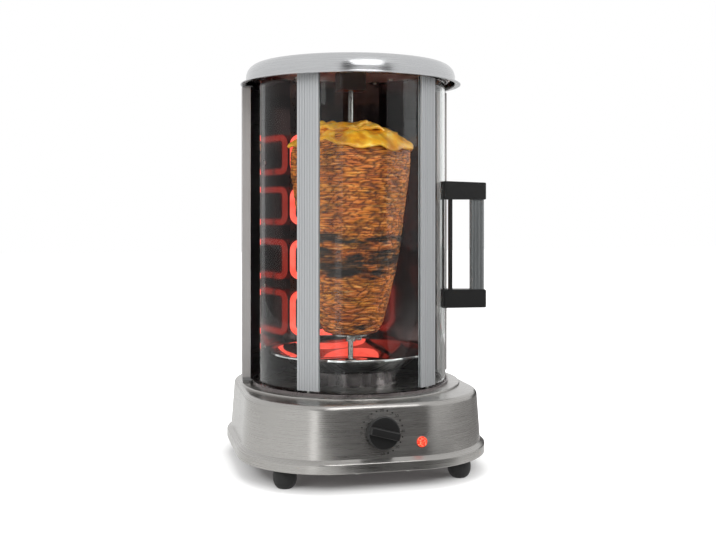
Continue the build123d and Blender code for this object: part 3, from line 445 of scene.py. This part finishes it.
spit_steel = mottled_finish("ground_spit_steel", "#b9b7b4", "#8f8c89", 0.22, (1.0, 1.0, 0.6), 0.15, 1.0)
zinc_steel = mottled_finish("zinc_plated_steel", "#b8bab6", "#94978f", 0.34, (2.0, 2.0, 2.0), 0.10, 1.0)
motor_case = mottled_finish("galvanised_motor_case", "#a3a7a6", "#7e8382", 0.40, (8.0, 8.0, 8.0), 0.10, 1.0)
bronze_bush = mottled_finish("sintered_bronze", "#a9794a", "#845a33", 0.45, (0.6, 0.6, 0.6), 0.3, 1.0)
steatite = mottled_finish("glazed_steatite", "#e9e3d6", "#d8d0c0", 0.28, (3.0, 3.0, 3.0), 0.08)
phenolic = mottled_finish("moulded_phenolic", "#453733", "#352a27", 0.45, (0.8, 0.8, 0.8), 0.12)
glass_sleeve = mottled_finish("woven_glass_sleeve", "#d9d3c4", "#b3ac9b", 0.7, (0.5, 0.5, 0.9), 0.6)
block_abs = mottled_finish("spark_textured_black_abs", "#191919", "#0f0f0f", 0.42, (0.5, 0.5, 0.5), 0.25)
knob_abs = mottled_finish("satin_black_abs_knob", "#181818", "#101010", 0.38, (0.6, 0.6, 0.6), 0.10)
foot_rubber = mottled_finish("nitrile_rubber_foot", "#1d1c1c", "#121212", 0.62, (0.7, 0.7, 0.7), 0.3)
print("materials so far:", len(bpy.data.materials))

# %% [markdown]
# ## Tempered glass
#
# The door's panes are clear tempered glass, 3 mm thick with ground edges. Blender follows light through
# glass but would let it cast a black shadow, so for shadow rays the glass is mixed with a see-through
# shader. Faint dust changes only the roughness. The photographer's polarising filter takes away most of
# what the panes mirror. Glass has an index of 1.5, and 1.24 stands for glass behind such a filter.

# %% Glass
door_glass, glass_tree, clear = start_material("tempered_glass", Roughness=0.0, IOR=1.24)
clear.inputs["Transmission Weight"].default_value = 1.0
clear.inputs["Base Color"].default_value = tone("#f4f7f6")
dust = stretched_noise(glass_tree, (25.0, 25.0, 80.0), detail=4.0)
glass_tree.links.new(set_range(glass_tree, dust, 0.0, 0.03, 0.45, 0.8), clear.inputs["Roughness"])
see_through = add_node(glass_tree, "ShaderNodeBsdfTransparent", {"Color": tone("#f2f5f4")})
shadow_ray = add_node(glass_tree, "ShaderNodeLightPath").outputs["Is Shadow Ray"]
glass_mix = add_node(glass_tree, "ShaderNodeMixShader",
                     {0: shadow_ray, 1: clear.outputs[0], 2: see_through.outputs[0]})
glass_tree.links.new(glass_mix.outputs[0], glass_tree.nodes["Material Output"].inputs["Surface"])
print(door_glass.name, "with an index of", round(clear.inputs["IOR"].default_value, 2))

# %% [markdown]
# ## Things that glow
#
# The heating element is a steel sheath with a coil inside. At work it glows orange red, a little uneven
# along its length. It is brighter than a picture can show, so the camera sees it clipped, and its mirror
# image in the dark reflector gets more of its strength. The power lamp is a red acrylic lens with a bulb
# behind it.

# %% Glowing element and lamp
heat_seen, heat_mirrored = 1.5, 2.0
hot_sheath, sheath_tree, sheath = start_material("glowing_element_sheath", Metallic=0.4, Roughness=0.6)
heat = stretched_noise(sheath_tree, (18.0, 18.0, 18.0), detail=2.0)
sheath_tree.links.new(colour_steps(sheath_tree, heat, (0.3, "#d94234"), (0.7, "#e6584a")),
                      sheath.inputs["Emission Color"])
mirrored_heat = add_node(sheath_tree, "ShaderNodeLightPath").outputs["Is Glossy Ray"]
heat_strength = set_range(sheath_tree, mirrored_heat, heat_seen, heat_mirrored, 0.0, 1.0)
sheath_tree.links.new(heat_strength, sheath.inputs["Emission Strength"])
sheath_tree.links.new(colour_steps(sheath_tree, heat, (0.3, "#5a2a22"), (0.7, "#7a3328")),
                      sheath.inputs["Base Color"])

lamp_lens, lens_tree, acrylic = start_material("glowing_red_acrylic", Roughness=0.12, Coat_Weight=0.6,
                                               Emission_Strength=0.9)
lens_facets_and_painted_glints = stretched_noise(lens_tree, (1.4, 1.4, 1.4), detail=1.0)
# The palest emission tone, #ffc79a, is a painted highlight on the lens facets; the other tones are the glowing
# lens.
lens_tree.links.new(colour_steps(lens_tree, lens_facets_and_painted_glints, (0.35, "#d8200f"), (0.55, "#ff4a2a"), (0.72, "#ffc79a")),
                    acrylic.inputs["Emission Color"])
lens_tree.links.new(colour_steps(lens_tree, lens_facets_and_painted_glints, (0.3, "#8e1208"), (0.7, "#c22314")),
                    acrylic.inputs["Base Color"])
raise_surface(lens_tree, acrylic, lens_facets_and_painted_glints, 0.4, 0.3)
print("glowing:", hot_sheath.name, "and", lamp_lens.name)

# %% [markdown]
# ## Dressing the CAD pieces
#
# Each CAD piece names a material slot. A table from slot to finish dresses them all at once, so that no
# piece is forgotten. A few pieces differ from the others in their slot and have a finish of their own.

# %% Materials onto the CAD pieces
finishes = {
    "base_steel": base_stainless, "lid_steel": lid_stainless, "tower_steel": tower_stainless,
    "inner_steel": inner_steel, "reflector_steel": reflector_steel, "tray_steel": tray_steel,
    "spit_steel": spit_steel, "zinc_steel": zinc_steel, "post_aluminium": post_aluminium,
    "grip_aluminium": grip_aluminium, "door_glass": door_glass, "black_plastic": block_abs,
    "knob_plastic": knob_abs, "foot_rubber": foot_rubber, "lamp_red": lamp_lens,
    "motor_case": motor_case, "ceramic": steatite, "hot_element": hot_sheath,
    "bronze_bush": bronze_bush, "dark_block": phenolic, "wire_sleeve": glass_sleeve,
}
own_finish = {"ceiling_pan": ceiling_steel_painted_glow, "floor_pan": base_stainless, "trim_left": trim_aluminium,
              "trim_right": trim_aluminium}
own_pieces = ("roast_meat", "golden_fat")     # these slots get pieces of their own below
slot_of = {part["node"]: part["material_slot"] for part in frame["record"]["subparts"]}
for node_name, piece in frame["nodes"].items():
    if slot_of[node_name] in own_pieces:
        continue
    for place in piece.material_slots:
        place.material = own_finish.get(node_name, finishes[slot_of[node_name]])
print(len(finishes), "slots and", len(own_finish), "single pieces have their finish")

# %% [markdown]
# ## Making a piece from a bmesh
#
# Every new piece is made the same way: a bmesh is shaped with operators, turned into an object that sits
# at the origin, given its finish, and told which body it moves with. One function does the second half.

# %% From bmesh to piece
def finish_piece(name, shape, finish, body, smooth=True):
    """Turns a bmesh into a piece that rides on a body and wears the given finish."""
    bmesh.ops.recalc_face_normals(shape, faces=shape.faces)
    for face in shape.faces:
        face.smooth = smooth
    mesh = bpy.data.meshes.new(name)
    shape.to_mesh(mesh)
    shape.free()
    mesh.materials.append(finish)
    piece = bpy.data.objects.new(name, mesh)
    bpy.context.scene.collection.objects.link(piece)
    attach(piece, body)
    print(name, "has", sum(len(f.vertices) - 2 for f in mesh.polygons), "triangles")
    return piece


def round_profile(points, cuts, passes):
    """A bmesh with one line through (radius, height) points in mm, subdivided and then smoothed."""
    shape = bmesh.new()
    line = [shape.verts.new((radius * mm, 0, height * mm)) for radius, height in points]
    for low, high in zip(line, line[1:]):
        shape.edges.new((low, high))
    bmesh.ops.subdivide_edges(shape, edges=shape.edges, cuts=cuts)
    ends = [v for v in shape.verts if len(v.link_edges) == 1]
    for _ in range(passes):
        bmesh.ops.smooth_vert(shape, verts=[v for v in shape.verts if v not in ends], factor=0.5,
                              use_axis_x=True, use_axis_y=True, use_axis_z=True)
    return shape


def spin_profile(shape, steps):
    """Turns a profile once about the spit axis and closes its seam and poles."""
    bmesh.ops.spin(shape, geom=shape.verts[:] + shape.edges[:], cent=(0, 0, 0), axis=(0, 0, 1),
                   angle=2 * pi, steps=steps, use_merge=True)
    bmesh.ops.remove_doubles(shape, verts=shape.verts, dist=0.01 * mm)


# %% [markdown]
# ## Stacked meat
#
# The load is hundreds of thin slices of meat, pushed down a rod and trimmed to a cone. Its skin is a mass
# of short torn strips that lie level, a few millimetres thick, with dark gaps between them. Where it came
# close to the element it is charred in bands.
#
# A bump map alone would leave the outline smooth, so the strips are cut into the mesh. A smoothed profile
# is spun, and each point is moved in or out by a cell pattern that is stretched along the skin: the
# borders between cells sink and become gaps, and each cell stands out by its own amount. The depth and
# the charring are kept on the points: the depth paints shade into the gaps, dark exactly where the mesh
# is deep, and the charring is the meat's own colour.
#
# The strips wander by three plain noises taken far apart. The noise module's vector noise would do this in
# one call, but its values change from one run of Blender to the next.

# %% Stacked meat
load_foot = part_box("meat_cone")[0].z / mm
load_sides = [(4.2, 0.0), (31.0, 0.0), (35.5, 2.0), (41.6, 13.5), (47.5, 31.5), (53.3, 51.0), (59.8, 79.5),
              (64.4, 108.5), (68.3, 137.0), (72.8, 170.5), (76.7, 203.0), (79.5, 230.0), (75.0, 244.0),
              (62.0, 255.0), (4.2, 259.5)]
char_bands = [(286.0, 8.0, 0.7), (256.0, 24.0, 0.95), (168.0, 12.0, 0.4)]   # height, spread, strength


strip_length, strip_thickness, gap_sharpness = 19.0, 3.4, 2.6      # the first two in mm
gap_depth, strip_step, fibre_depth, slow_swell, skin_inset = 1.3, 1.0, 0.35, 1.8, 1.0    # in mm


def noise_at(place, size_mm, finer=None):
    """Noise with grains of size_mm = (x, y, z) millimetres. finer = (fall-off, octaves) adds smaller ones."""
    spot = Vector([value / (size * mm) for value, size in zip(place, size_mm)])
    return noise.fractal(spot, finer[0], 2.0, finer[1]) if finer else noise.noise(spot)


def strip_relief(place):
    """0 in the gap beside a torn strip to 1 on the strip, and how far this strip stands out."""
    warp = Vector([2.2 * noise.noise(place / (30 * mm) + Vector((0, 0, apart))) for apart in (0, 40, 80)])
    cell = Vector((place.x / (strip_length * mm) + warp.x * 0.35,
                   place.y / (strip_length * mm) + warp.y * 0.35,
                   place.z / (strip_thickness * mm) + warp.z))
    near, far = noise.voronoi(cell)[0][:2]
    return min(1.0, (far - near) * gap_sharpness), 0.5 + 0.5 * noise.cell(cell * 0.9)


meat_shape = round_profile([(r, load_foot + z) for r, z in load_sides], 17, 14)
inner_wall = [v for v in meat_shape.verts if len(v.link_edges) == 1]
meat_shape.edges.new(inner_wall)
spin_profile(meat_shape, 360)
meat_shape.normal_update()
gap_shade_layer = meat_shape.verts.layers.float.new("gap")
char_layer = meat_shape.verts.layers.float.new("char")
for vert in meat_shape.verts:
    place = vert.co.copy()
    radius = (place.x ** 2 + place.y ** 2) ** 0.5 / mm
    if radius < 12.0:
        continue
    outward = Vector((place.x, place.y, 0)).normalized()
    edge, height = strip_relief(place)
    fibre = noise_at(place, (5, 5, 1.6), (0.8, 3))
    slow = noise_at(place, (38, 38, 38))
    rise = (strip_step * height - gap_depth * (1.0 - edge) + fibre_depth * fibre + slow_swell * slow
            - skin_inset)
    vert.co = place + outward * rise * mm
    band = sum(strength * exp(-((place.z / mm - z) / spread) ** 2) for z, spread, strength in char_bands)
    patch = noise_at(place, (30, 30, 9), (0.9, 3))
    # The gap value paints shade into the gaps between strips and into the hollows of the fibres.
    vert[gap_shade_layer] = max(0.0, min(1.0, 1.0 - edge + 0.35 * max(0.0, -fibre)))
    vert[char_layer] = max(0.0, min(1.0, 2.0 * (band + 0.8 * patch - 0.42)))

# %% Meat skin
roast_meat, meat_tree, meat_skin = start_material("roasted_meat_skin", Coat_Weight=0.25, Coat_Roughness=0.25)
strips = stretched_noise(meat_tree, (24.0, 24.0, 1.7), detail=7.0, distortion=0.5)
skin = colour_steps(meat_tree, strips, (0.28, "#6c260a"), (0.42, "#b8581c"), (0.52, "#e07c2e"),
                    (0.62, "#f09440"), (0.74, "#fcc880"))
slow_patch = stretched_noise(meat_tree, (34.0, 34.0, 16.0), detail=4.0)
golden_patch = set_range(meat_tree, slow_patch, 0.0, 0.8, 0.42, 0.66)
golden = colour_steps(meat_tree, strips, (0.3, "#7c350a"), (0.5, "#d87e1c"), (0.66, "#f8b048"))
toasted = add_node(meat_tree, "ShaderNodeMix", {"Factor": golden_patch}, data_type="RGBA")
meat_tree.links.new(skin, toasted.inputs[6])
meat_tree.links.new(golden, toasted.inputs[7])
# Painted shade: the skin darkens towards #3c1607 in the gaps, by the depth kept on the points.
gap_shade_value = add_node(meat_tree, "ShaderNodeAttribute", attribute_name="gap").outputs["Fac"]
gap_shade_amount = set_range(meat_tree, gap_shade_value, 0.0, 0.85, 0.3, 1.0)
gap_shaded_skin = add_node(meat_tree, "ShaderNodeMix", {"Factor": gap_shade_amount}, data_type="RGBA")
meat_tree.links.new(toasted.outputs[2], gap_shaded_skin.inputs[6])
gap_shaded_skin.inputs[7].default_value = tone("#3c1607")
char_value = add_node(meat_tree, "ShaderNodeAttribute", attribute_name="char").outputs["Fac"]
flakes = set_range(meat_tree, strips, -0.25, 0.25)
charred = add_node(meat_tree, "ShaderNodeMath", {0: char_value, 1: flakes}, operation="SUBTRACT",
                   use_clamp=True)
on_char = add_node(meat_tree, "ShaderNodeMix", {"Factor": charred.outputs[0]}, data_type="RGBA")
meat_tree.links.new(gap_shaded_skin.outputs[2], on_char.inputs[6])
on_char.inputs[7].default_value = tone("#1c120e")
meat_tree.links.new(on_char.outputs[2], meat_skin.inputs["Base Color"])
meat_tree.links.new(set_range(meat_tree, strips, 0.62, 0.34), meat_skin.inputs["Roughness"])
raise_surface(meat_tree, meat_skin, strips, 0.8, 0.9)
stacked_meat = finish_piece("stacked_meat", meat_shape, roast_meat, "spit")
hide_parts("meat_cone")

# %% [markdown]
# ## Slices of fat on top
#
# The cook lays a few thick slices of fat over the stack, so that they melt down over it. Under the heat
# they go golden, wrinkle, and hang a little over the edge with a paler, rounded rim.
#
# Each slice is a disc with enough rings and spokes to bend. Its height follows the dome of the stack, its
# rim runs in and out, and folds are pressed into it with slow noise. It gets its thickness last, so the
# rim becomes a rounded lip.

# %% Slices of fat
fat_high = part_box("fat_cap")[1].z / mm
fat_thickness, fold_height, lump_height = 4.6, 5.6, 1.8      # in mm


def dome_height(radius):
    """Height in mm of the stack's crown at a radius, under the fat."""
    return 421.5 - 17.5 * max(0.0, (radius - 30.0) / 50.0) ** 2.2


def fat_slice(name, centre, reach, lift, seed, droop):
    """One slice draped over the crown: centre and reach in mm, lift above the crown, droop at its rim."""
    shape = bmesh.new()
    spoke = [shape.verts.new((r * reach * mm / 22, 0, 0)) for r in range(23)]
    for inner, outer in zip(spoke, spoke[1:]):
        shape.edges.new((inner, outer))
    spin_profile(shape, 120)
    crease_shade_layer = shape.verts.layers.float.new("crease")
    for vert in shape.verts:
        share = vert.co.length / (reach * mm)
        angle = atan2(vert.co.y, vert.co.x)
        wander = noise.noise(Vector((cos(angle) * 1.3, sin(angle) * 1.3, seed))) * 0.16
        ripple = noise.noise(Vector((cos(angle) * 4.0, sin(angle) * 4.0, seed + 5))) * 0.07
        flat = vert.co.xy * (1.0 + (wander + ripple) * share)
        place = Vector((flat.x + centre[0] * mm, flat.y + centre[1] * mm, 0))
        radius = place.length / mm
        fold = noise.fractal(Vector((place.x / (21 * mm), place.y / (21 * mm), seed * 3.1)), 0.9, 2.0, 3)
        lump = noise.noise(Vector((place.x / (9 * mm), place.y / (9 * mm), seed * 1.7)))
        height = dome_height(radius) + lift + fold_height * fold + lump_height * lump
        height -= droop * max(0.0, share - 0.72) ** 1.5 * 9.0 * (1.0 + 1.2 * wander * 6)
        vert.co = Vector((place.x, place.y, min(height, fat_high - 2.2) * mm))
        # The crease value paints shade into the low places of the folds and lumps.
        vert[crease_shade_layer] = max(0.0, min(1.0, 0.45 - 1.1 * fold - 0.35 * lump))
    bmesh.ops.recalc_face_normals(shape, faces=shape.faces)
    if sum(face.normal.z for face in shape.faces) < 0:
        bmesh.ops.reverse_faces(shape, faces=shape.faces)
    bmesh.ops.solidify(shape, geom=shape.faces[:], thickness=fat_thickness * mm)
    piece = finish_piece(name, shape, golden_fat, "spit")
    soften = piece.modifiers.new("soften", "SUBSURF")
    soften.levels = soften.render_levels = 1
    return piece


golden_fat, fat_tree, fat_skin = start_material("melted_golden_fat", Coat_Weight=0.5, Coat_Roughness=0.12,
                                                Roughness=0.35)
fat_skin.inputs["Subsurface Weight"].default_value = 0.12
fat_skin.inputs["Subsurface Radius"].default_value = (0.004, 0.002, 0.001)
marbling = stretched_noise(fat_tree, (13.0, 13.0, 9.0), detail=5.0, distortion=0.5)
fat_tone = colour_steps(fat_tree, marbling, (0.3, "#f09a14"), (0.46, "#ffb626"), (0.6, "#ffc844"),
                        (0.74, "#ffe496"))
# Painted shade: the fat darkens towards #c8701c in the creases.
crease_shade_value = add_node(fat_tree, "ShaderNodeAttribute", attribute_name="crease").outputs["Fac"]
crease_shade_amount = set_range(fat_tree, crease_shade_value, 0.0, 0.75, 0.5, 1.0)
crease_shaded_fat = add_node(fat_tree, "ShaderNodeMix", {"Factor": crease_shade_amount}, data_type="RGBA")
fat_tree.links.new(fat_tone, crease_shaded_fat.inputs[6])
crease_shaded_fat.inputs[7].default_value = tone("#c8701c")
fat_tree.links.new(crease_shaded_fat.outputs[2], fat_skin.inputs["Base Color"])
raise_surface(fat_tree, fat_skin, marbling, 0.35, 0.8)

lower_slice = fat_slice("fat_slice_lower", (0.0, 0.0), 83.0, 2.0, 1.3, 1.0)
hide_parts("fat_cap")
fat_slice("fat_slice_middle", (-8.0, 6.0), 66.0, 6.0, 4.6, 0.6)
fat_slice("fat_slice_upper", (-16.0, -10.0), 44.0, 10.0, 8.2, 0.5)

# %% [markdown]
# ## The printed timer scale
#
# The timer's scale is screen printed on the front wall: a number for every ten minutes, two dots between
# numbers, and a nought where the timer is off. The frame's joint for the knob gives the middle of the
# scale and the direction that the wall faces, so the print lies on the wall by itself.

# %% Timer scale
timer_joint = next(joint for joint in frame["joints"] if joint["name"] == "timer_turn")
scale_centre = Vector(timer_joint["pos_m"])
outward = Vector(timer_joint["axis"]).normalized()
up_wall = Vector((0, 0, 1)) - outward * outward.z
scale_frame = Matrix((Vector((1, 0, 0)), up_wall.normalized(), outward)).transposed().to_4x4()
scale_frame.translation = scale_centre + outward * 0.02 * mm
scale_radius, number_height, dot_radius, ink_thickness = 24.6, 5.0, 1.0, 0.03
minutes_per_dot, degrees_per_dot, off_angle = 10 / 3, 15.0, 180.0


def number_mesh(text):
    """A printed number as a flat mesh, with its middle at the origin."""
    words = bpy.data.curves.new("number", "FONT")
    words.body, words.size = text, number_height * mm
    words.align_x, words.align_y = "CENTER", "CENTER"
    holder = bpy.data.objects.new("number", words)
    bpy.context.scene.collection.objects.link(holder)
    bpy.context.view_layer.update()
    mesh = bpy.data.meshes.new_from_object(holder.evaluated_get(bpy.context.evaluated_depsgraph_get()))
    bpy.data.objects.remove(holder)
    return mesh


scale_shape = bmesh.new()
for step in range(19):
    angle = radians(off_angle - step * degrees_per_dot)
    middle = Matrix.Translation((scale_radius * mm * cos(angle), scale_radius * mm * sin(angle), 0))
    known = set(scale_shape.verts)
    if step % 3 == 0:
        scale_shape.from_mesh(number_mesh(str(round(step * minutes_per_dot))))
    else:
        bmesh.ops.create_circle(scale_shape, cap_ends=True, segments=14, radius=dot_radius * mm)
    bmesh.ops.transform(scale_shape, matrix=scale_frame @ middle,
                        verts=[v for v in scale_shape.verts if v not in known])
raised = bmesh.ops.extrude_face_region(scale_shape, geom=scale_shape.faces[:])
bmesh.ops.translate(scale_shape, vec=outward * ink_thickness * mm,
                    verts=[v for v in raised["geom"] if isinstance(v, bmesh.types.BMVert)])
scale_ink = mottled_finish("black_screen_print", "#151414", "#0c0b0b", 0.6, (0.4, 0.4, 0.4), 0.1)
finish_piece("timer_scale_print", scale_shape, scale_ink, "grill", smooth=False)

# %% [markdown]
# ## Rivets along the reflector
#
# The bent reflector is riveted to the rear housing through its two front edges. The rivets are small
# flattened domes. Each is half of a squashed ball, set on the sheet's own face.

# %% Reflector rivets
rivet_radius, rivet_rise, rivet_seat = 2.2, 1.1, 0.2
rivet_x, rivet_y = 108.0, 32.0
rivet_heights = [142.0, 222.0, 302.0, 382.0]
rivet_shape = bmesh.new()
sheet_lean = atan2(49.5, 72.0)      # the reflector's sides go this far in over this depth, in mm
for side in (-1, 1):
    edge_place = Vector((side * rivet_x * mm, rivet_y * mm, 0))
    inward = Vector((-side * cos(sheet_lean), -sin(sheet_lean), 0))
    for height in rivet_heights:
        known = set(rivet_shape.verts)
        bmesh.ops.create_uvsphere(rivet_shape, u_segments=14, v_segments=8, radius=1.0)
        fresh = [v for v in rivet_shape.verts if v not in known]
        squash = Matrix.Diagonal((rivet_radius * mm, rivet_radius * mm, rivet_rise * mm, 1.0))
        turn = inward.to_track_quat("Z", "Y").to_matrix().to_4x4()
        place = Matrix.Translation(edge_place + Vector((0, 0, height * mm)) + inward * rivet_seat * mm)
        bmesh.ops.transform(rivet_shape, matrix=place @ turn @ squash, verts=fresh)
finish_piece("reflector_rivets", rivet_shape, zinc_steel, "grill")

# %% Close the script
bpy.context.scene.view_settings.view_transform = "Standard"
